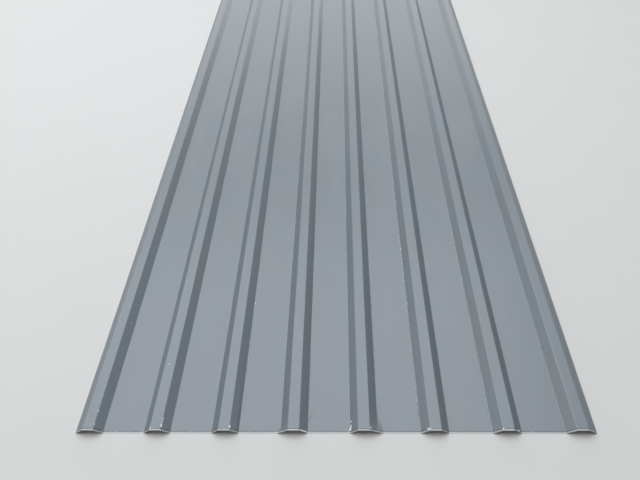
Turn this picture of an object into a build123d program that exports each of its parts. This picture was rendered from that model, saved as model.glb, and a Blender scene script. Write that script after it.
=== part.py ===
from build123d import *
import os

# Trapezoidal ribbed sheet of coated steel, roll formed from one flat strip. The sheet
# lies as it does on a roof or a level floor: flat pans down, ribs up. X runs across
# the ribs, Y runs along them and Z is up. The origin is on the plane that the pans
# rest on, in the middle of the sheet's length and width.

# Driving dimensions, in millimetres
sheet_length = 2500.0
rib_count = 8
rib_pitch = 157.0
crown_width = 25.0
rib_height = 18.0
slope_run = 18.0
flange_run = 21.0
flange_clearance = 0.6
steel_thickness = 0.5
bend_radius = 2.0

# Sizes that follow from them
half_crown = crown_width / 2
outer_radius = bend_radius + steel_thickness
first_rib_x = -(rib_count - 1) * rib_pitch / 2


def rib_folds(centre_x, left_run, right_run, left_foot, right_foot):
    """Underside fold points of one rib, from its left foot to its right foot."""
    return [
        (centre_x - half_crown - left_run, left_foot),
        (centre_x - half_crown, rib_height),
        (centre_x + half_crown, rib_height),
        (centre_x + half_crown + right_run, right_foot),
    ]


# The edge ribs end in an outer flange, sprung open a little and cut just clear of
# the floor. Every other rib stands between two pans.
fold_points = []
for rib in range(rib_count):
    left_edge = rib == 0
    right_edge = rib == rib_count - 1
    fold_points += rib_folds(
        first_rib_x + rib * rib_pitch,
        flange_run if left_edge else slope_run,
        flange_run if right_edge else slope_run,
        flange_clearance if left_edge else 0,
        flange_clearance if right_edge else 0,
    )

# Each fold is bent round the same inside radius. On the underside that radius shows
# at the crowns, and the feet of the slopes have it plus the steel's thickness.
fold_radii = [bend_radius if height == rib_height else outer_radius for _, height in fold_points[1:-1]]

# The section is the underside line thickened upwards by one thickness of steel, and
# the sheet is that section drawn out along its ribs.
section_plane = Plane.XZ.offset(-sheet_length / 2)
with BuildPart() as profiled_sheet:
    with BuildSketch(section_plane):
        with BuildLine():
            FilletPolyline(*fold_points, radius=fold_radii)
            offset(amount=steel_thickness, side=Side.LEFT)
        make_face()
    extrude(amount=sheet_length)

profiled_sheet.part.label = "profiled_sheet"

os.makedirs("parts", exist_ok=True)
export_step(profiled_sheet.part, "parts/profiled_sheet.step")
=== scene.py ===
"""Looks of a trapezoidal ribbed sheet of coated steel, lying on a pale studio floor.

The sheet is one roll-formed piece. It is modelled again here in fine mesh, round the
same section as the frame's solid, with the slight unevenness of real sheet steel, and
it is dressed with a weather coat on top, a pale backing coat underneath and bare
steel on its cut edges. Lengths are in metres. X runs across the ribs, Y runs along
them, and the near cut end is the one with the lower Y.
"""

import logging
import math
from dataclasses import dataclass, field
from enum import Enum, IntEnum
from functools import cached_property, reduce
from typing import ClassVar

import bmesh
import bpy
from mathutils import Matrix, Vector, noise


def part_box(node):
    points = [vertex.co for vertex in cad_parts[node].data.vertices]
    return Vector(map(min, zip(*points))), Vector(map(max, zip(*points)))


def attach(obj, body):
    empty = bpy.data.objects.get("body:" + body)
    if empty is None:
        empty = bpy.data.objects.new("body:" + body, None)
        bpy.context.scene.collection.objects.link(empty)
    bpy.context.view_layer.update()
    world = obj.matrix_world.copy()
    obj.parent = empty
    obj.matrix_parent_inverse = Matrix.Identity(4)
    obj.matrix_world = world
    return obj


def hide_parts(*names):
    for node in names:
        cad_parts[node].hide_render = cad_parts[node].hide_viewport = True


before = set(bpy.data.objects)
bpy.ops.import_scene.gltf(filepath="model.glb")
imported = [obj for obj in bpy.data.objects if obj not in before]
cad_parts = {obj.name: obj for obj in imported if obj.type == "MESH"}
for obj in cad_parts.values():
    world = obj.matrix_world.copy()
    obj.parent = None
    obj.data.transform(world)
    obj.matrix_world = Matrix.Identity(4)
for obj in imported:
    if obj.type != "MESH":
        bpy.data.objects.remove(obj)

LOG = logging.getLogger("ribbed_sheet")
MM = 0.001

Triple = tuple[float, float, float]
Colour = tuple[float, float, float]
Edges = list[bmesh.types.BMEdge]
Rows = tuple[tuple[float, ...], ...]

# The values of a ramp that give 0 and 1, in that order.
Span = tuple[float, float]

# A cloud varies about this value.
CLOUD_MIDDLE = 0.5

BLACK: Colour = (0.0, 0.0, 0.0)

# The Mix node's colour sockets go by number, because other sockets share their names.
MIX_LOW = 6
MIX_HIGH = 7
MIX_RESULT = 2


class Face(IntEnum):
    """Material slots of the sheet's mesh."""

    WEATHER = 0
    BACKING = 1
    CUT = 2


class Axis(Enum):
    """Directions on an object, as outputs of Separate XYZ."""

    ACROSS = "X"
    ALONG = "Y"


# Shader maths


@dataclass(frozen=True)
class Pattern:
    """A noise or a scatter of grains that is fixed to its object.

    The scale is its cells for each metre on each axis, and the shift, in cells, keeps
    two patterns apart. Detail is the number of a noise's finer layers, and rough is
    how strong they are.
    """

    scale: Triple
    shift: Triple = (0.0, 0.0, 0.0)
    detail: float = 3.0
    rough: float = 0.5


@dataclass(frozen=True, eq=False)
class Signal:
    """One value that varies over a surface: the output socket of a node in a graph."""

    graph: "Graph"
    socket: bpy.types.NodeSocket

    def _maths(self, operation: str, *others: "Number", clamp: bool = False) -> "Signal":
        """Adds one Math node.

        Args:
            operation: the Math node's operation.
            others: the second and third operands, where it has them.
            clamp: whether the result is kept from 0 to 1.

        Returns:
            The node's result.
        """
        settings = {"operation": operation, "use_clamp": clamp}
        node = self.graph.node("ShaderNodeMath", settings, dict(enumerate([self, *others])))
        return Signal(self.graph, node.outputs[0])

    def __add__(self, other: "Number") -> "Signal":
        """Sum."""
        return self._maths("ADD", other)

    __radd__ = __add__

    def __sub__(self, other: "Number") -> "Signal":
        """Difference."""
        return self._maths("SUBTRACT", other)

    def __rsub__(self, other: "Number") -> "Signal":
        """Reflected difference, as in 1 - mask."""
        return self._maths("MULTIPLY_ADD", -1.0, other)

    def __mul__(self, other: "Number") -> "Signal":
        """Product."""
        return self._maths("MULTIPLY", other)

    def __truediv__(self, other: "Number") -> "Signal":
        """Quotient."""
        return self._maths("DIVIDE", other)

    def __pow__(self, other: "Number") -> "Signal":
        """Power."""
        return self._maths("POWER", other)

    def size(self) -> "Signal":
        """Absolute value."""
        return self._maths("ABSOLUTE")

    def cycle(self) -> "Signal":
        """Fraction above the next lower whole number."""
        return self._maths("FRACT")

    def either(self, other: "Number") -> "Signal":
        """Larger of two."""
        return self._maths("MAXIMUM", other)

    def both(self, other: "Number") -> "Signal":
        """Smaller of two."""
        return self._maths("MINIMUM", other)

    def unit(self) -> "Signal":
        """Kept from 0 to 1."""
        return self._maths("ADD", 0.0, clamp=True)

    def ramp(self, low: float, high: float) -> "Signal":
        """Rises smoothly from 0 at low to 1 at high, or falls where low is the larger.

        Args:
            low: the value that gives 0.
            high: the value that gives 1.

        Returns:
            A mask from 0 to 1.
        """
        falls = low > high
        settings = {"interpolation_type": "SMOOTHSTEP", "clamp": True}
        inputs = {
            "Value": self,
            "From Min": min(low, high),
            "From Max": max(low, high),
            "To Min": 1.0 if falls else 0.0,
            "To Max": 0.0 if falls else 1.0,
        }
        node = self.graph.node("ShaderNodeMapRange", settings, inputs)
        return Signal(self.graph, node.outputs["Result"])

    def band(self, centre: float, half: float, soft: float) -> "Signal":
        """A mask that is 1 within half of centre and fades over soft beyond it."""
        return (self - centre).size().ramp(half + soft, half)


Number = Signal | float
Paint = Colour | bpy.types.NodeSocket
Values = dict[str | int, object]


class Graph:
    """The node tree of one material or world, and the one way of adding nodes to it."""

    def __init__(self, tree: bpy.types.NodeTree) -> None:
        """Starts an empty tree.

        Args:
            tree: the node tree, which is cleared.
        """
        self.tree = tree
        tree.nodes.clear()

    def node(self, kind: str, settings: Values | None = None, inputs: Values | None = None) -> bpy.types.Node:
        """Adds a node, sets it up and wires it.

        Args:
            kind: the node's type name.
            settings: the node's own properties, set first.
            inputs: values or links, by input name or number.

        Returns:
            The new node.
        """
        node = self.tree.nodes.new(kind)
        for name, value in (settings or {}).items():
            setattr(node, name, value)
        for name, value in (inputs or {}).items():
            socket = node.inputs[name]
            if isinstance(value, Signal):
                value = value.socket
            if isinstance(value, bpy.types.NodeSocket):
                self.tree.links.new(value, socket)
            elif socket.type == "RGBA":
                socket.default_value = (*value, 1.0)
            else:
                socket.default_value = value
        return node

    @cached_property
    def place(self) -> bpy.types.NodeSocket:
        """The object's own coordinates, in metres."""
        return self.node("ShaderNodeTexCoord").outputs["Object"]

    def along(self, axis: Axis) -> Signal:
        """One coordinate of the place on the object, in metres."""
        node = self.node("ShaderNodeSeparateXYZ", inputs={"Vector": self.place})
        return Signal(self, node.outputs[axis.value])

    def _mapped(self, pattern: Pattern) -> bpy.types.NodeSocket:
        """The object's coordinates, scaled and shifted for a pattern."""
        inputs = {"Vector": self.place, "Scale": pattern.scale, "Location": pattern.shift}
        return self.node("ShaderNodeMapping", inputs=inputs).outputs["Vector"]

    def cloud(self, pattern: Pattern) -> Signal:
        """Soft noise from 0 to 1, which varies about the cloud middle."""
        inputs = {"Vector": self._mapped(pattern), "Scale": 1.0}
        inputs |= {"Detail": pattern.detail, "Roughness": pattern.rough}
        return Signal(self, self.node("ShaderNodeTexNoise", inputs=inputs).outputs["Fac"])

    def grains(self, pattern: Pattern) -> Signal:
        """Distance, in cells, to the nearest of a scatter of points with one in each cell."""
        inputs = {"Vector": self._mapped(pattern), "Scale": 1.0}
        return Signal(self, self.node("ShaderNodeTexVoronoi", inputs=inputs).outputs["Distance"])

    def mix(self, mask: Number, low: Paint, high: Paint) -> bpy.types.NodeSocket:
        """Mixes two colours.

        Args:
            mask: 0 gives low and 1 gives high.
            low: a colour or a colour socket.
            high: a colour or a colour socket.

        Returns:
            The mixed colour.
        """
        inputs = {"Factor": mask, MIX_LOW: low, MIX_HIGH: high}
        return self.node("ShaderNodeMix", {"data_type": "RGBA"}, inputs).outputs[MIX_RESULT]

    def bump(self, height: Signal, depth: float, strength: float) -> bpy.types.NodeSocket:
        """A bump map.

        Args:
            height: relief from 0 to 1.
            depth: the height of 1, in metres.
            strength: share of the relief that is used.

        Returns:
            The bumped normal.
        """
        inputs = {"Height": height, "Distance": depth, "Strength": strength}
        return self.node("ShaderNodeBump", inputs=inputs).outputs["Normal"]


# Layout of the ribs


@dataclass(frozen=True)
class RibLayout:
    """Where the ribs stand, for the mesh and for the patterns that follow them."""

    count: int
    pitch: float
    half_crown: float
    half_base: float
    half_length: float

    def centre_of(self, rib: float) -> float:
        """Across-sheet place of one rib's middle, with ribs counted from 1 at the left."""
        return (rib - 1 - (self.count - 1) / 2) * self.pitch


class CoatSurface:
    """The coated face as its layers read it: places on the sheet, and shared noises."""

    def __init__(self, graph: Graph, layout: RibLayout) -> None:
        """Sets up the places and the noises.

        Args:
            graph: the material's graph.
            layout: where the ribs stand. Their count is even, so their middles lie
                halfway between the whole pitches.
        """
        self.graph = graph
        self.layout = layout
        along = graph.along(Axis.ALONG)
        self.from_near_end = along + layout.half_length
        self.from_any_end = layout.half_length - along.size()
        self.across = graph.along(Axis.ACROSS)
        self.from_rib = ((self.across / layout.pitch).cycle() - 0.5).size() * layout.pitch
        self.fine = graph.cloud(Pattern((900.0, 900.0, 900.0), detail=2.0, rough=0.6))
        self.patch = graph.cloud(Pattern((7.0, 2.2, 7.0), detail=4.0, rough=0.55))
        self.streak = graph.cloud(Pattern((160.0, 1.6, 160.0), rough=0.6))
        self.ragged = graph.cloud(Pattern((520.0, 420.0, 520.0), detail=4.0, rough=0.7)) - CLOUD_MIDDLE


# What lies on the weather coat, its wear, and the painted highlight and shade along its cut ends


@dataclass(frozen=True)
class Dust:
    """A veil of fine dust, thinner on the ribs than in the pans, and single motes in it."""

    veil_patches: Span = (0.42, 0.70)
    patch_cover: float = 0.06
    veil_streaks: Span = (0.52, 0.75)
    streak_cover: float = 0.03
    share_on_ribs: float = 0.4
    start_from_foot: float = -1.0 * MM
    full_from_foot: float = 6.0 * MM
    mote_grains: Pattern = Pattern((34.0, 34.0, 34.0))
    mote_size: Span = (0.040, 0.022)
    mote_patches: Span = (0.40, 0.62)
    mote_cover: float = 0.35

    def veil(self, coat: CoatSurface) -> Signal:
        """How much of the coat the veil covers."""
        foot = coat.layout.half_base
        in_pan = coat.from_rib.ramp(foot + self.start_from_foot, foot + self.full_from_foot)
        patches = coat.patch.ramp(*self.veil_patches) * self.patch_cover
        streaks = coat.streak.ramp(*self.veil_streaks) * self.streak_cover
        return (patches + streaks) * (in_pan * (1 - self.share_on_ribs) + self.share_on_ribs)

    def motes(self, coat: CoatSurface) -> Signal:
        """Where the motes lie."""
        return coat.graph.grains(self.mote_grains).ramp(*self.mote_size) * coat.patch.ramp(*self.mote_patches)


@dataclass(frozen=True)
class RibBand:
    """Dust or wear in a band along both sides of every rib, in short stretches.

    Half is the band's half width, and it fades over soft beyond that.
    """

    half: float
    soft: float
    cover: float
    stretches: Span
    cloud: Pattern

    def mask(self, coat: CoatSurface, from_rib: float) -> Signal:
        """How much of the coat the band covers, given how far its middle is from the rib's."""
        band = coat.from_rib.band(from_rib, self.half, self.soft)
        return band * coat.graph.cloud(self.cloud).ramp(*self.stretches) * self.cover


@dataclass(frozen=True)
class GritLine:
    """Grit caught along one foot of one rib, with the strengths of light and dark grains."""

    across: float
    start: float
    stop: float
    light: float
    dark: float


@dataclass(frozen=True)
class Grit:
    """Light grains and dark dirt along the feet of some ribs."""

    lines: tuple[GritLine, ...]
    waver: float = 3.0 * MM
    line_width: Span = (2.6 * MM, 0.8 * MM)
    fade_in: float = 25.0 * MM
    fade_out: float = 60.0 * MM
    outline: float = 0.9
    beads: Pattern = Pattern((190.0, 60.0, 190.0))
    bead_size: Span = (0.28, 0.14)
    bead_share: float = 0.8
    fine_beads: Pattern = Pattern((330.0, 110.0, 330.0), shift=(7.0, 0.0, 0.0))
    fine_size: Span = (0.36, 0.22)
    fine_share: float = 0.7
    notches: Pattern = Pattern((230.0, 120.0, 230.0), shift=(0.0, 9.0, 0.0))
    notch_size: Span = (0.44, 0.26)
    light_cover: float = 0.80
    dark_cover: float = 0.75

    def _reach(self, coat: CoatSurface, line: GritLine) -> Signal:
        """Where one line of grit runs.

        Args:
            coat: the coated face.
            line: the line's place and its two ends.

        Returns:
            The line's mask, which fades in near its start and out before its stop.
        """
        beside = (coat.across - line.across + coat.ragged * self.waver).size().ramp(*self.line_width)
        started = coat.from_near_end.ramp(line.start, line.start + self.fade_in)
        going_on = coat.from_near_end.ramp(line.stop, line.stop - self.fade_out)
        return beside * (started * going_on)

    def masks(self, coat: CoatSurface) -> tuple[Signal, Signal]:
        """Where the light grit lies, and where the dark grit does."""
        grains = coat.graph.grains
        outline = coat.ragged * self.outline
        reaches = [(self._reach(coat, line), line) for line in self.lines]
        light = reduce(Signal.either, [reach * line.light for reach, line in reaches])
        dark = reduce(Signal.either, [reach * line.dark for reach, line in reaches])
        beads = (grains(self.beads) + outline).ramp(*self.bead_size) * self.bead_share
        fine_beads = (grains(self.fine_beads) + outline).ramp(*self.fine_size) * self.fine_share
        notches = (grains(self.notches) + outline).ramp(*self.notch_size)
        return light * beads.either(fine_beads), dark * notches


@dataclass(frozen=True)
class EndLightAndNicks:
    """A painted highlight on a narrow lip along each cut end, a painted shade line behind it, and small nicks
    in that line.
    """

    # This cloud varies the end's line, its painted highlight and shade, and where the nicks lie.
    wear: Pattern = Pattern((55.0, 200.0, 55.0), shift=(2.0, 0.0, 4.0), rough=0.6)
    waver: float = 1.6 * MM
    lip_width: float = 3.0 * MM
    lip_soft: float = 0.3 * MM
    # Painted highlight on the lip: primer colour mixed in to lighten it.
    lip_highlight: float = 0.10
    varying_lip_highlight: float = 0.32
    # Painted shade: a dark line behind the lip, darkened with the grime colour.
    shade_line_from_lip: float = 1.2 * MM
    shade_line_half: float = 0.7 * MM
    shade_line_soft: float = 0.6 * MM
    painted_shade_line: float = 0.40
    shade_line_range: Span = (0.70, 0.45)
    varying_shade_line: float = 0.55
    nicks: Pattern = Pattern((190.0, 190.0, 190.0), shift=(0.0, 0.0, 6.0))
    nick_size: Span = (0.30, 0.20)
    nick_stretches: Span = (0.50, 0.62)
    nick_cover: float = 0.8

    def masks(self, coat: CoatSurface) -> tuple[Signal, Signal, Signal, Signal]:
        """Where the painted highlight, the painted shade line and the nicks of a cut end lie.

        Args:
            coat: the coated face.

        Returns:
            Where the lip is, and how much of the coat the lip's painted highlight, the
            painted shade line behind it and the nicks in that line cover.
        """
        wear = coat.graph.cloud(self.wear)
        from_end = coat.from_any_end + (wear - CLOUD_MIDDLE) * self.waver
        lip = from_end.ramp(self.lip_width + self.lip_soft, self.lip_width - self.lip_soft)
        shade_line = from_end.band(self.lip_width + self.shade_line_from_lip, self.shade_line_half, self.shade_line_soft)
        nicks = shade_line * coat.graph.grains(self.nicks).ramp(*self.nick_size) * wear.ramp(*self.nick_stretches)
        return (
            lip,
            lip * (self.lip_highlight + wear * self.varying_lip_highlight),
            shade_line * (wear.ramp(*self.shade_line_range) * self.varying_shade_line + self.painted_shade_line),
            nicks * self.nick_cover,
        )


@dataclass(frozen=True)
class Mark:
    """A small chip or speck of the coat, at a place on the sheet.

    The lean is how far across the sheet the mark runs for each metre along it.
    """

    across: float
    from_end: float
    width: float
    length: float
    lean: float = 0.0


@dataclass(frozen=True)
class Chipping:
    """Chips that show the white primer, the larger ones bare steel, and dark specks.

    An edge is how far inside its outline a mark begins and how far in it is full,
    where 0 is the outline and 1 is the middle.
    """

    chips: tuple[Mark, ...]
    specks: tuple[Mark, ...]
    chip_outline: float = 2.6
    chip_edge: Span = (-0.05, 0.20)
    speck_outline: float = 3.4
    speck_edge: Span = (-0.10, 0.45)
    speck_cover: float = 0.85
    bare_edge: Span = (0.80, 1.10)
    bare_cover: float = 0.7

    def _inside(self, coat: CoatSurface, marks: tuple[Mark, ...], outline: float) -> Signal:
        """How far inside the nearest mark a place is.

        Args:
            coat: the coated face.
            marks: the marks' places and sizes.
            outline: how ragged their outline is.

        Returns:
            1 in the middle of a mark, 0 on its outline and negative outside.
        """
        radii = []
        for mark in marks:
            onward = coat.from_near_end - mark.from_end
            x = (coat.across - mark.across - onward * mark.lean) / (mark.width / 2)
            y = onward / (mark.length / 2)
            radii.append(x * x + y * y)
        return 1.0 - reduce(Signal.both, radii) + coat.ragged * outline

    def masks(self, coat: CoatSurface) -> tuple[Signal, Signal, Signal]:
        """How much of the coat the specks, the chips and the bare steel in them cover."""
        specks = self._inside(coat, self.specks, self.speck_outline)
        chips = self._inside(coat, self.chips, self.chip_outline)
        return (
            specks.ramp(*self.speck_edge) * self.speck_cover,
            chips.ramp(*self.chip_edge),
            chips.ramp(*self.bare_edge) * self.bare_cover,
        )


# Finishes


class Finish:
    """A surface finish, which becomes one material."""

    name: ClassVar[str]

    def surface(self, graph: Graph) -> Values:
        """Builds the finish's layers.

        Args:
            graph: the material's graph.

        Returns:
            The inputs of the finish's shader, by name.
        """
        raise NotImplementedError

    def material(self) -> bpy.types.Material:
        """The finished material, which has the finish's name."""
        material = bpy.data.materials.new(self.name)
        material.use_nodes = True
        graph = Graph(material.node_tree)
        shader = graph.node("ShaderNodeBsdfPrincipled", inputs=self.surface(graph))
        graph.node("ShaderNodeOutputMaterial", inputs={"Surface": shader.outputs[0]})
        return material


@dataclass(frozen=True)
class WeatherCoat(Finish):
    """Semi-matt blue-grey polyester coat of the sheet's upper side."""

    name: ClassVar[str] = "weather_coat"

    layout: RibLayout
    grit: Grit
    chipping: Chipping
    settled: Dust = Dust()
    # Painted highlight and painted shade along the cut ends, and nicks.
    end_light_and_nicks: EndLightAndNicks = EndLightAndNicks()

    # A film of dust along the feet, scuffs from sheets dragged over one another, and
    # the crowns' edges where the coat is rubbed thin.
    film: RibBand = RibBand(
        half=0.5 * MM, soft=1.6 * MM, cover=0.12, stretches=(0.40, 0.70),
        cloud=Pattern((30.0, 9.0, 30.0), shift=(3.0, 0.0, 0.0)),
    )
    film_from_foot: float = 0.6 * MM
    scuffs: RibBand = RibBand(
        half=6.0 * MM, soft=2.0 * MM, cover=0.12, stretches=(0.60, 0.72),
        cloud=Pattern((420.0, 14.0, 420.0), shift=(1.0, 8.0, 0.0), detail=4.0, rough=0.65),
    )
    rubbing: RibBand = RibBand(
        half=0.3 * MM, soft=0.7 * MM, cover=0.22, stretches=(0.56, 0.68),
        cloud=Pattern((60.0, 5.0, 60.0), shift=(0.0, 5.0, 0.0), detail=4.0),
    )

    # Colours of the coat, of what lies on it, of what shows through it, and of the painted highlight and
    # shade along the cut ends.
    base: Colour = (0.122, 0.149, 0.176)
    warmer: Colour = (0.126, 0.150, 0.170)
    dust: Colour = (0.36, 0.36, 0.35)
    # Also the painted highlight on the cut ends' lip.
    primer_and_highlight: Colour = (0.80, 0.81, 0.82)
    bare: Colour = (0.42, 0.43, 0.44)
    # Also the painted shade line behind the cut ends' lip.
    grime_and_shade: Colour = (0.030, 0.034, 0.038)

    # The drift in tone of a weathered batch, and the grime in the coat's fine grain.
    drift: Pattern = Pattern((11.0, 4.5, 11.0), shift=(5.0, 1.0, 2.0), detail=2.0)
    drift_range: Span = (0.35, 0.65)
    grain_contrast: float = 0.30
    grain_cover: float = 0.10

    # Gloss, and how much each layer changes it.
    specular: float = 0.72
    refraction: float = 1.5
    roughness: float = 0.34
    patch_roughness: float = 0.10
    streak_roughness: float = 0.05
    veil_roughness: float = 0.6
    mark_roughness: float = 0.25
    lip_polish: float = 0.05

    # Relief, as shares of its whole depth.
    relief_depth: float = 0.12 * MM
    relief_strength: float = 0.5
    peel: Pattern = Pattern((260.0, 260.0, 260.0), detail=2.0)
    peel_height: float = 0.12
    grain_height: float = 0.05
    grit_height: float = 0.5
    chip_depth: float = 0.8

    def surface(self, graph: Graph) -> Values:
        """Lays grime, dust, grit and wear over the coat, one layer after another, with a painted highlight
        and painted shade along the cut ends.
        """
        coat = CoatSurface(graph, self.layout)
        crown, foot = self.layout.half_crown, self.layout.half_base
        veil, motes = self.settled.veil(coat), self.settled.motes(coat)
        light_grit, dark_grit = self.grit.masks(coat)
        lip, lip_highlight, painted_shade_line, nick_cover = self.end_light_and_nicks.masks(coat)
        specks, chips, bare_steel = self.chipping.masks(coat)
        film = self.film.mask(coat, foot + self.film_from_foot)

        layers = (
            ((CLOUD_MIDDLE - coat.fine) * self.grain_contrast + self.grain_cover, self.grime_and_shade),
            (veil + motes * self.settled.mote_cover + film, self.dust),
            (dark_grit * self.grit.dark_cover, self.grime_and_shade),
            (light_grit * self.grit.light_cover, self.primer_and_highlight),
            (self.scuffs.mask(coat, (crown + foot) / 2), self.dust),
            (self.rubbing.mask(coat, crown), self.dust),
            # Painted highlight on the lip and painted shade line behind it, along the cut ends.
            (lip_highlight, self.primer_and_highlight),
            (painted_shade_line, self.grime_and_shade),
            (nick_cover, self.primer_and_highlight),
            (specks, self.grime_and_shade),
            (chips, self.primer_and_highlight),
            (bare_steel, self.bare),
        )
        colour = graph.mix(graph.cloud(self.drift).ramp(*self.drift_range), self.base, self.warmer)
        for mask, laid_on in layers:
            colour = graph.mix(mask, colour, laid_on)

        roughness = self.roughness + (coat.patch - CLOUD_MIDDLE) * self.patch_roughness
        roughness = roughness + (coat.streak - CLOUD_MIDDLE) * self.streak_roughness
        roughness = roughness + veil * self.veil_roughness
        roughness = roughness + (chips + light_grit + motes) * self.mark_roughness - lip * self.lip_polish

        relief = graph.cloud(self.peel) * self.peel_height + coat.fine * self.grain_height
        relief = relief + (light_grit + dark_grit + motes) * self.grit_height - chips * self.chip_depth
        return {
            "Base Color": colour,
            "Roughness": roughness.unit(),
            "Metallic": 0.0,
            "IOR": self.refraction,
            "Specular IOR Level": self.specular,
            "Normal": graph.bump(relief, self.relief_depth, self.relief_strength),
        }


@dataclass(frozen=True)
class BackingCoat(Finish):
    """Thin pale grey backing coat of the sheet's underside."""

    name: ClassVar[str] = "backing_coat"

    base: Colour = (0.36, 0.375, 0.38)
    thin: Colour = (0.25, 0.27, 0.28)
    scuffed: Colour = (0.55, 0.56, 0.56)
    streaks: Pattern = Pattern((240.0, 2.5, 240.0), detail=4.0, rough=0.65)
    thin_streaks: Span = (0.35, 0.70)
    streak_cover: float = 0.6
    patches: Pattern = Pattern((6.0, 3.0, 6.0))
    patch_cover: float = 0.3
    scuffs: Pattern = Pattern((90.0, 14.0, 90.0), shift=(1.0, 2.0, 0.0), detail=5.0, rough=0.7)
    scuff_range: Span = (0.60, 0.74)
    scuff_cover: float = 0.35
    grain: Pattern = Pattern((700.0, 700.0, 700.0), detail=2.0)
    roughness: float = 0.5
    streak_roughness: float = 0.2
    scuff_roughness: float = 0.1
    relief_depth: float = 0.08 * MM
    relief_strength: float = 0.5
    relief_share: float = 0.4

    def surface(self, graph: Graph) -> Values:
        """Makes the coat thin and streaky, with scuffs."""
        streak = graph.cloud(self.streaks)
        scuff = graph.cloud(self.scuffs).ramp(*self.scuff_range)
        thin = streak.ramp(*self.thin_streaks) * self.streak_cover
        thin = thin + graph.cloud(self.patches) * self.patch_cover
        colour = graph.mix(thin, self.base, self.thin)
        roughness = self.roughness + (streak - CLOUD_MIDDLE) * self.streak_roughness
        roughness = roughness + scuff * self.scuff_roughness
        relief = graph.cloud(self.grain) * self.relief_share + streak * self.relief_share
        return {
            "Base Color": graph.mix(scuff * self.scuff_cover, colour, self.scuffed),
            "Roughness": roughness.unit(),
            "Metallic": 0.0,
            "Normal": graph.bump(relief, self.relief_depth, self.relief_strength),
        }


@dataclass(frozen=True)
class CutSteel(Finish):
    """Bare sheared edge of galvanised steel."""

    name: ClassVar[str] = "cut_steel"

    bright: Colour = (0.62, 0.63, 0.64)
    dull: Colour = (0.30, 0.31, 0.32)
    shear: Pattern = Pattern((1500.0, 1500.0, 150.0), rough=0.7)
    bright_range: Span = (0.35, 0.65)
    shear_share: float = 0.7
    stain: Pattern = Pattern((40.0, 40.0, 40.0))
    stain_share: float = 0.3
    metallic: float = 0.85
    roughness: float = 0.38
    shear_roughness: float = 0.25
    relief_depth: float = 0.05 * MM
    relief_strength: float = 0.6

    def surface(self, graph: Graph) -> Values:
        """Streaks the steel as the shear left it."""
        shear = graph.cloud(self.shear)
        bright = shear.ramp(*self.bright_range) * self.shear_share
        bright = bright + graph.cloud(self.stain) * self.stain_share
        return {
            "Base Color": graph.mix(bright, self.dull, self.bright),
            "Roughness": (self.roughness + shear * self.shear_roughness).unit(),
            "Metallic": self.metallic,
            "Normal": graph.bump(shear, self.relief_depth, self.relief_strength),
        }


@dataclass(frozen=True)
class FloorPaint(Finish):
    """Matt paint of the floor, which turns into the plain backdrop beyond the cove."""

    name: ClassVar[str] = "floor_paint"

    backdrop: Colour
    shade: Colour = (0.58, 0.58, 0.572)
    clouds: Pattern = Pattern((3.0, 3.0, 3.0), detail=4.0)
    mottle: float = 0.015
    roughness: float = 0.85
    cove: Span = (2.0, 6.0)

    def surface(self, graph: Graph) -> Values:
        """Mottles the paint faintly near the sheet, and makes it a plain light colour far out."""
        across, along = graph.along(Axis.ACROSS), graph.along(Axis.ALONG)
        far = ((across * across + along * along) ** 0.5).ramp(*self.cove)
        darker = tuple((1 - self.mottle) * part for part in self.shade)
        lighter = tuple((1 + self.mottle) * part for part in self.shade)
        shade = graph.mix(graph.cloud(self.clouds), darker, lighter)
        return {
            "Base Color": graph.mix(far, shade, BLACK),
            "Roughness": self.roughness,
            "Specular IOR Level": 0.0,
            "Emission Color": graph.mix(far, BLACK, self.backdrop),
            "Emission Strength": 1.0,
        }


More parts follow.
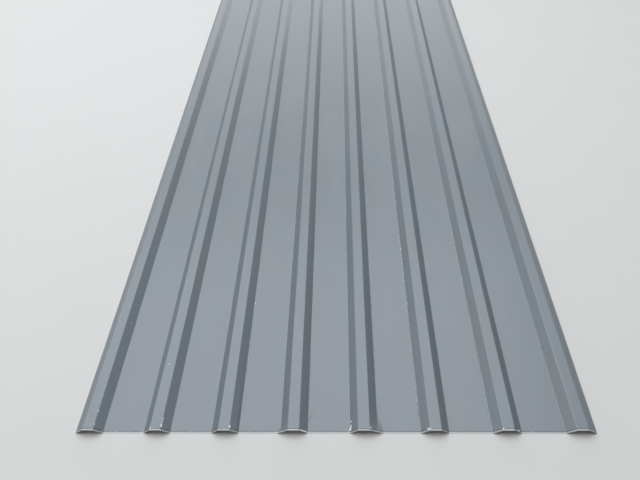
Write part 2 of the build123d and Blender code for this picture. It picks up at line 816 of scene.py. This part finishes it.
@dataclass(frozen=True)
class Wear:
    """The wear that the photograph shows, in millimetres.

    A chip or speck has its rib, its offset from the rib's middle, its distance from the
    near end, width, length and, if it leans, its lean. A line of grit has its rib, offset,
    start, stop and the strengths of its light and dark grains.
    """

    layout: RibLayout
    chips: Rows = (
        (2, 12.8, 12.0, 2.6, 8.5, -0.15),
        (2, 13.2, 20.0, 1.3, 6.0),
        (2, 13.2, 27.0, 1.6, 5.0),
        (2, -11.6, 5.8, 3.2, 3.0),
        (2, -2.1, 162.7, 2.0, 3.0),
        (1, 12.8, 45.0, 1.9, 2.4),
        (1, 13.0, 14.6, 1.9, 2.6),
        (1, 22.8, 287.5, 1.6, 2.0),
        (3, 13.0, 9.3, 3.4, 6.5),
        (4, 22.0, 2.6, 19.0, 2.2),
        (5, -30.0, 9.5, 3.4, 8.0, 0.35),
        (5, -28.4, 15.5, 2.2, 5.0, 0.3),
        (5, -28.2, 25.6, 2.4, 3.2),
        (5, 14.6, 6.6, 4.5, 2.6),
        (6, -14.6, 4.8, 8.5, 2.4),
        (7, -11.6, 4.2, 3.0, 2.6),
        (7, 23.2, 4.0, 7.0, 2.4),
        (3, 33.0, 350.0, 1.7, 4.5),
    )
    specks: Rows = (
        (3, 34.0, 78.0, 2.2, 3.0),
        (3, 36.5, 90.0, 1.8, 2.4),
        (3, 38.0, 102.0, 1.6, 2.2),
        (4, 35.0, 35.0, 2.2, 14.0, 0.45),
        (4, 38.6, 47.0, 1.8, 8.0, 0.5),
        (4, 45.0, 36.5, 1.6, 6.0, 1.2),
        (4, 49.0, 39.0, 1.2, 4.0, 1.2),
        (4, 47.0, 50.0, 1.5, 5.0, 0.2),
        (4, 33.0, 28.0, 1.8, 4.0),
        (4, 32.6, 77.0, 2.2, 4.5),
        (4, 34.0, 97.0, 1.6, 3.0),
        (5, 41.8, 20.6, 2.4, 3.0),
        (1, 40.0, 16.5, 1.8, 5.0),
        (5, -33.0, 58.0, 2.0, 3.0),
        (5, -35.2, 535.3, 2.6, 5.0),
        (4, 33.4, 1978.0, 3.0, 9.0),
        (8, -30.5, 204.6, 2.6, 6.0),
        (8, -29.8, 94.3, 2.2, 4.0),
        (8, -29.8, 49.0, 2.2, 4.0),
    )
    grit: Rows = (
        (6, -31.5, 300.0, 600.0, 0.78, 0.2),
        (6, -31.6, 40.0, 330.0, 0.22, 0.0),
        (6, -32.4, 10.0, 320.0, 0.0, 1.0),
        (6, -31.4, 560.0, 2000.0, 0.28, 0.1),
        (7, -31.4, 330.0, 640.0, 0.34, 0.2),
        (7, -31.6, 20.0, 360.0, 0.15, 0.0),
        (7, -32.2, 10.0, 420.0, 0.0, 0.8),
        (7, -36.0, 15.0, 200.0, 0.05, 0.45),
        (7, -31.2, 600.0, 2000.0, 0.20, 0.1),
        (5, 31.8, 5.0, 800.0, 0.05, 0.8),
        (3, 32.2, 5.0, 340.0, 0.15, 0.9),
        (3, 32.8, 290.0, 400.0, 0.16, 0.0),
        (4, 32.2, 10.0, 240.0, 0.1, 0.6),
        (5, -31.4, 650.0, 1900.0, 0.24, 0.1),
        (8, -31.6, 20.0, 260.0, 0.04, 0.35),
        (6, 31.8, 15.0, 420.0, 0.2, 0.5),
    )

    def _across(self, rib: float, offset: float) -> float:
        """Across-sheet place, in metres, of an offset in millimetres from a rib's middle."""
        return self.layout.centre_of(rib) + offset * MM

    def _marks(self, rows: Rows) -> tuple[Mark, ...]:
        """Chips or specks in metres, from rows in millimetres that may end in a lean."""
        return tuple(
            Mark(self._across(rib, offset), end * MM, width * MM, length * MM, *lean)
            for rib, offset, end, width, length, *lean in rows
        )

    def coat(self) -> WeatherCoat:
        """The weather coat with this wear."""
        lines = tuple(
            GritLine(self._across(rib, offset), start * MM, stop * MM, light, dark)
            for rib, offset, start, stop, light, dark in self.grit
        )
        chipping = Chipping(self._marks(self.chips), self._marks(self.specks))
        return WeatherCoat(self.layout, Grit(lines), chipping)


# Objects


def add_object(name: str, data: bpy.types.ID) -> bpy.types.Object:
    """Adds an object to the scene.

    Args:
        name: the object's name.
        data: its mesh, camera or light.

    Returns:
        The new object, at the origin.
    """
    added = bpy.data.objects.new(name, data)
    bpy.context.scene.collection.objects.link(added)
    return added


def add_mesh(name: str, shape: bmesh.types.BMesh) -> bpy.types.Object:
    """Adds a finished shape to the scene.

    Args:
        name: the name of the object and of its mesh.
        shape: the shape, which is freed.

    Returns:
        The new object, at the origin.
    """
    mesh = bpy.data.meshes.new(name)
    shape.to_mesh(mesh)
    shape.free()
    return add_object(name, mesh)


# The sheet


@dataclass(frozen=True)
class KnockedFoot:
    """One rib foot that was knocked out of line at the near cut end.

    The side is -1 for a rib's left foot and 1 for its right one. The slope is lifted
    most at its peak, measured up from the foot, and the edge of the pan beside it moves
    away by the spread. Both fade over the reach, measured along the sheet.
    """

    rib: int
    side: int
    peak: float
    lift: float
    spread: float
    reach: float


@dataclass(frozen=True)
class Wave:
    """One noise in the bulge of the pans.

    Its cells are counted for each rib pitch, the length is that of a cell along the
    sheet, and the seed tells one wave from another.
    """

    cells: float
    length: float
    seed: float
    strength: float

    def height(self, pitches: float, along: float) -> float:
        """The wave at a place, given in rib pitches across the sheet and in metres along it."""
        return self.strength * noise.noise(Vector((pitches * self.cells, along / self.length, self.seed)))


@dataclass
class RibbedSheet:
    """The roll-formed sheet: a fine mesh round the frame's section."""

    length: float

    # The section
    rib_count: int = 8
    pitch: float = 157.0 * MM
    crown: float = 25.0 * MM
    rise: float = 18.0 * MM
    slope_run: float = 18.0 * MM
    flange_run: float = 21.0 * MM
    flange_clearance: float = 0.6 * MM
    steel: float = 0.5 * MM
    fold_angle: float = math.radians(45.0)
    bend_radius: float = 2.0 * MM

    # The mesh
    bend_steps: int = 4
    support: float = 0.7 * MM
    shoulder: float = 5.5 * MM
    pan_cuts: int = 5
    row_step: float = 23.0 * MM
    end_rows: tuple[float, ...] = (1.2 * MM, 2.9 * MM, 3.6 * MM, 7.0 * MM, 12.0 * MM, 17.5 * MM, 23.0 * MM)
    row_tolerance: float = 0.01 * MM
    merge_distance: float = 0.005 * MM

    # The bulge of the pans, which dies down over the calm length to its calm share
    canning: float = 0.45 * MM
    canning_mean: float = 0.5
    canning_waves: tuple[Wave, ...] = (
        Wave(cells=1.7, length=420.0 * MM, seed=3.1, strength=0.75),
        Wave(cells=3.1, length=160.0 * MM, seed=8.4, strength=0.3),
    )
    calm_length: float = 80.0 * MM
    calm_share: float = 0.15

    # The knocked feet, how many setbacks past its fold a foot's bend ends, and how far
    # into the pan a knock is felt
    bend_setbacks: float = 1.1
    pan_run: float = 16.5 * MM
    knocked: tuple[KnockedFoot, ...] = (
        KnockedFoot(rib=5, side=1, peak=0.0, lift=7.5 * MM, spread=11.5 * MM, reach=27.0 * MM),
        KnockedFoot(rib=4, side=-1, peak=0.0, lift=5.0 * MM, spread=6.5 * MM, reach=22.0 * MM),
        KnockedFoot(rib=3, side=1, peak=5.5 * MM, lift=2.0 * MM, spread=0.0, reach=150.0 * MM),
    )

    coats: dict[Face, bpy.types.Material] = field(default_factory=dict)

    @property
    def half_crown(self) -> float:
        """Half the flat of a rib's top."""
        return self.crown / 2

    @property
    def half_base(self) -> float:
        """From a rib's middle to the foot of its slope."""
        return self.half_crown + self.slope_run

    @property
    def setback(self) -> float:
        """How far a bend starts before its fold line, at the mid radius."""
        return (self.bend_radius + self.steel / 2) * math.tan(self.fold_angle / 2)

    def layout(self) -> RibLayout:
        """Where the ribs stand."""
        return RibLayout(self.rib_count, self.pitch, self.half_crown, self.half_base, self.length / 2)

    def _centres(self) -> list[float]:
        """Across-sheet places of the ribs' middles."""
        return [self.layout().centre_of(rib) for rib in range(1, self.rib_count + 1)]

    def _folds(self) -> list[Vector]:
        """Fold points of the underside at the near end, from left to right."""
        near = -self.length / 2
        points = []
        for rib, centre in enumerate(self._centres()):
            left, right = (
                (self.flange_run, self.flange_clearance) if at_edge else (self.slope_run, 0.0)
                for at_edge in (rib == 0, rib == self.rib_count - 1)
            )
            points += [
                Vector((centre - self.half_crown - left[0], near, left[1])),
                Vector((centre - self.half_crown, near, self.rise)),
                Vector((centre + self.half_crown, near, self.rise)),
                Vector((centre + self.half_crown + right[0], near, right[1])),
            ]
        return points

    def _column_cuts(self) -> list[float]:
        """Across-sheet places of the extra columns, beside each bend and over the pans."""
        margin = self.setback + self.support
        beside = (
            self.half_crown - margin,
            self.half_crown + margin,
            self.half_base - self.shoulder - self.support,
            self.half_base - self.shoulder,
            self.half_base - margin,
            self.half_base + margin,
        )
        centres = self._centres()
        cuts = [centre + side * offset for centre in centres for side in (-1, 1) for offset in beside]
        pan = self.pitch - 2 * self.half_base
        parts = self.pan_cuts + 1
        for centre in centres[:-1]:
            middle = centre + self.pitch / 2
            cuts += [middle + pan * (part / parts - 0.5) for part in range(1, parts)]
        outer = centres[-1] + self.half_base
        return sorted(cut for cut in cuts if abs(cut) < outer)

    def _rows(self) -> list[float]:
        """Along-sheet places of the rows past the near end, closer together at both ends."""
        half = self.length / 2
        last = self.end_rows[-1]
        between = self.length - 2 * last
        steps = max(1, round(between / self.row_step))
        middle = [-half + last + between * step / steps for step in range(1, steps)]
        near = [-half + offset for offset in self.end_rows]
        far = [half - offset for offset in reversed(self.end_rows)]
        return near + middle + far + [half]

    def _draw_out(self, skin: bmesh.types.BMesh, edges: Edges, distance: float) -> Edges:
        """Draws a row of edges out along the sheet.

        Args:
            skin: the surface that the row belongs to.
            edges: the row's edges.
            distance: how far beyond them the new row lies.

        Returns:
            The new row's edges.
        """
        grown = bmesh.ops.extrude_edge_only(skin, edges=edges)["geom"]
        verts = {part for part in grown if isinstance(part, bmesh.types.BMVert)}
        new_edges = [part for part in grown if isinstance(part, bmesh.types.BMEdge)]
        bmesh.ops.translate(skin, vec=(0.0, distance, 0.0), verts=list(verts))
        return [edge for edge in new_edges if verts.issuperset(edge.verts)]

    def _strip(self, first_row: float) -> bmesh.types.BMesh:
        """Makes a short strip of the underside, with its bends and all its columns.

        Args:
            first_row: along-sheet place of the strip's end.

        Returns:
            The strip, which starts at the near end.
        """
        strip = bmesh.new()
        points = [strip.verts.new(point) for point in self._folds()]
        line = [strip.edges.new(pair) for pair in zip(points, points[1:])]
        self._draw_out(strip, line, first_row + self.length / 2)
        bmesh.ops.bevel(
            strip,
            geom=[edge for edge in strip.edges if len(edge.link_faces) == 2],
            offset=self.setback,
            offset_type="OFFSET",
            affect="EDGES",
            segments=self.bend_steps,
            profile=0.5,
            material=-1,
            clamp_overlap=False,
        )
        for cut in self._column_cuts():
            whole = [*strip.verts, *strip.edges, *strip.faces]
            bmesh.ops.bisect_plane(strip, geom=whole, plane_co=(cut, 0.0, 0.0), plane_no=(1.0, 0.0, 0.0))
        return strip

    def _skin(self) -> bmesh.types.BMesh:
        """Rolls the underside out row by row.

        Returns:
            The underside, flat between its folds, with its faces up.
        """
        rows = self._rows()
        skin = self._strip(rows[0])
        first = {vert for vert in skin.verts if abs(vert.co.y - rows[0]) < self.row_tolerance}
        front = [edge for edge in skin.edges if first.issuperset(edge.verts)]
        for start, stop in zip(rows, rows[1:]):
            front = self._draw_out(skin, front, stop - start)
        bmesh.ops.remove_doubles(skin, verts=skin.verts, dist=self.merge_distance)
        skin.normal_update()
        bmesh.ops.reverse_faces(skin, faces=[face for face in skin.faces if face.normal.z < 0])
        return skin

    def _canned(self, across: float, along: float) -> float:
        """How far a pan bulges upwards, from residual stress in the steel.

        Args:
            across: place across the sheet.
            along: place along the sheet.

        Returns:
            The bulge, in metres, never below 0, and 0 on the ribs.
        """
        pitches = across / self.pitch
        from_rib = abs(pitches - math.floor(pitches) - 0.5) * self.pitch
        half_pan = self.pitch / 2 - self.half_base
        inward = (from_rib - self.half_base) / half_pan
        if inward <= 0.0:
            return 0.0
        # It rises smoothly from 0 at the pan's edge to 1 in its middle.
        window = inward * inward * (3 - 2 * inward)
        waves = (wave.height(pitches, along) for wave in self.canning_waves)
        return window * self.canning * max(0.0, sum(waves, self.canning_mean))

    def _knock(self, point: Vector) -> Vector:
        """Where a point goes where a rib's foot was knocked out of line.

        Args:
            point: a point of the surface as rolled.

        Returns:
            The moved point.
        """
        moved = point.copy()
        from_end = point.y + self.length / 2
        bend_end = -self.bend_setbacks * self.setback
        layout = self.layout()
        for foot in self.knocked:
            up_slope = self.half_base - (point.x - layout.centre_of(foot.rib)) * foot.side
            if from_end >= foot.reach or not -self.pan_run < up_slope < self.slope_run:
                continue
            closeness = 1 - from_end / foot.reach
            if up_slope < bend_end:
                moved.x += foot.side * foot.spread * closeness * (1 + up_slope / self.pan_run)
                continue
            share = min(1.0, (self.slope_run - up_slope) / (self.slope_run - foot.peak))
            if foot.peak > 0.0:
                share = min(share, max(0.0, up_slope / foot.peak))
            moved.z += foot.lift * closeness * share
        return moved

    def _make_uneven(self, skin: bmesh.types.BMesh) -> None:
        """Gives the underside, flat as rolled, the slight unevenness of real sheet."""
        half = self.length / 2
        for vert in skin.verts:
            looseness = min(1.0, (half - abs(vert.co.y)) / self.calm_length + self.calm_share)
            vert.co.z += self._canned(vert.co.x, vert.co.y) * looseness
            vert.co = self._knock(vert.co)

    def build(self) -> bpy.types.Object:
        """Rolls the sheet out, thickens it and sorts its faces into their coats.

        Returns:
            The mesh object, with a material slot for each face of the sheet.
        """
        body = self._skin()
        self._make_uneven(body)
        underside = set(body.verts)
        bmesh.ops.solidify(body, geom=list(body.faces), thickness=-self.steel)
        bmesh.ops.recalc_face_normals(body, faces=body.faces)
        for face in body.faces:
            below = sum(vert in underside for vert in face.verts)
            if below == len(face.verts):
                face.material_index = Face.BACKING
            elif below == 0:
                face.material_index = Face.WEATHER
            else:
                face.material_index = Face.CUT
            face.smooth = face.material_index != Face.CUT
        for edge in body.edges:
            edge.smooth = all(face.smooth for face in edge.link_faces)
        sheet = add_mesh("ribbed_sheet", body)
        for face in Face:
            sheet.data.materials.append(self.coats[face])
        return sheet


# The studio


@dataclass(frozen=True)
class Viewpoint:
    """The camera's place and aim, worked out from the photograph."""

    offset_right: float = 50.6 * MM
    from_near_end: float = 402.5 * MM
    height: float = 1129.1 * MM
    tilt_down: float = math.radians(49.089)
    heading: float = math.radians(-4.819)
    roll: float = math.radians(-4.821)
    focal_pixels: float = 499.87
    image_width: int = 640
    sensor: float = 36.0
    nearest_seen: float = 0.02
    furthest_seen: float = 100.0

    def set_camera(self, near_end: float) -> None:
        """Sets the scene's camera up, given where along the sheet its near cut end is."""
        data = bpy.data.cameras.new("camera")
        data.sensor_width = self.sensor
        data.lens = self.focal_pixels / self.image_width * self.sensor
        data.clip_start = self.nearest_seen
        data.clip_end = self.furthest_seen
        camera = add_object("camera", data)
        turn = Matrix.Rotation(-self.heading, 4, "Z")
        tilt = Matrix.Rotation(math.pi / 2 - self.tilt_down, 4, "X")
        spin = Matrix.Rotation(self.roll, 4, "Z")
        place = Matrix.Translation((self.offset_right, near_end - self.from_near_end, self.height))
        camera.matrix_world = place @ turn @ tilt @ spin
        bpy.context.scene.camera = camera


@dataclass(frozen=True)
class SoftBox:
    """A rectangular soft lamp that the camera doesn't see."""

    name: str
    place: Triple
    aim: Triple
    width: float
    height: float
    radiance: float
    tint: Colour

    def hang(self) -> None:
        """Hangs the lamp, with the power that gives its face the stated radiance."""
        data = bpy.data.lights.new(self.name, "AREA")
        data.shape = "RECTANGLE"
        data.size = self.width
        data.size_y = self.height
        data.energy = self.radiance * math.pi * self.width * self.height
        data.color = self.tint
        lamp = add_object(self.name, data)
        turn = (Vector(self.aim) - Vector(self.place)).to_track_quat("-Z", "Y")
        lamp.matrix_world = Matrix.Translation(self.place) @ turn.to_matrix().to_4x4()
        lamp.visible_camera = False


@dataclass(frozen=True)
class Studio:
    """Pale floor, pale surroundings and soft lamps."""

    floor_half: float = 40.0
    backdrop: Colour = (0.805, 0.81, 0.81)
    fill: Colour = (0.26, 0.26, 0.235)
    lamps: tuple[SoftBox, ...] = (
        SoftBox(
            "sky_panel", place=(-1.6, 0.85, 5.0), aim=(-1.6, -0.5, 0.0),
            width=9.0, height=5.4, radiance=2.66, tint=(0.97, 1.0, 1.065),
        ),
        SoftBox(
            "horizon_panel", place=(-1.1, 9.5, 4.3), aim=(-0.4, 0.0, 1.0),
            width=11.8, height=7.2, radiance=1.15, tint=(0.98, 1.0, 0.965),
        ),
        SoftBox(
            "left_panel", place=(-8.0, 0.0, 2.6), aim=(0.0, 0.0, 0.3),
            width=10.0, height=4.0, radiance=0.75, tint=(1.0, 1.0, 0.90),
        ),
        SoftBox(
            "low_panel", place=(2.7, 8.9, 0.75), aim=(-0.1, 0.9, 0.0),
            width=2.8, height=1.4, radiance=1.8, tint=(1.04, 1.0, 0.92),
        ),
    )

    def _lay_floor(self) -> None:
        """Lays the floor, which keeps the sheet's shadow."""
        plane = bmesh.new()
        bmesh.ops.create_grid(plane, x_segments=1, y_segments=1, size=self.floor_half)
        floor = add_mesh("studio_floor", plane)
        floor.data.materials.append(FloorPaint(self.backdrop).material())

    def _fill_air(self) -> None:
        """Sets an even fill light, and the backdrop for what the camera and gloss see."""
        world = bpy.data.worlds.new("studio_air")
        bpy.context.scene.world = world
        world.use_nodes = True
        graph = Graph(world.node_tree)
        path = graph.node("ShaderNodeLightPath")
        rays = ("Is Camera Ray", "Is Glossy Ray", "Is Transmission Ray")
        seen = reduce(Signal.either, [Signal(graph, path.outputs[ray]) for ray in rays])
        air = graph.mix(seen, self.fill, self.backdrop)
        background = graph.node("ShaderNodeBackground", inputs={"Color": air, "Strength": 1.0})
        graph.node("ShaderNodeOutputWorld", inputs={"Surface": background.outputs[0]})

    def build(self) -> None:
        """Sets up the floor, the surroundings and the lamps."""
        self._lay_floor()
        self._fill_air()
        for lamp in self.lamps:
            lamp.hang()
        bpy.context.scene.view_settings.view_transform = "Standard"


def main() -> None:
    logging.basicConfig(level=logging.INFO, format="%(name)s: %(message)s")
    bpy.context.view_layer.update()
    low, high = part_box("profiled_sheet")
    sheet = RibbedSheet(length=high.y - low.y)
    sheet.coats = {
        Face.WEATHER: Wear(sheet.layout()).coat().material(),
        Face.BACKING: BackingCoat().material(),
        Face.CUT: CutSteel().material(),
    }
    piece = sheet.build()
    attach(piece, "root")
    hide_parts("profiled_sheet")
    LOG.info("sheet: %d faces", len(piece.data.polygons))

    Studio().build()
    Viewpoint().set_camera(low.y)
    LOG.info("studio and camera are set")


if __name__ == "__main__":
    main()
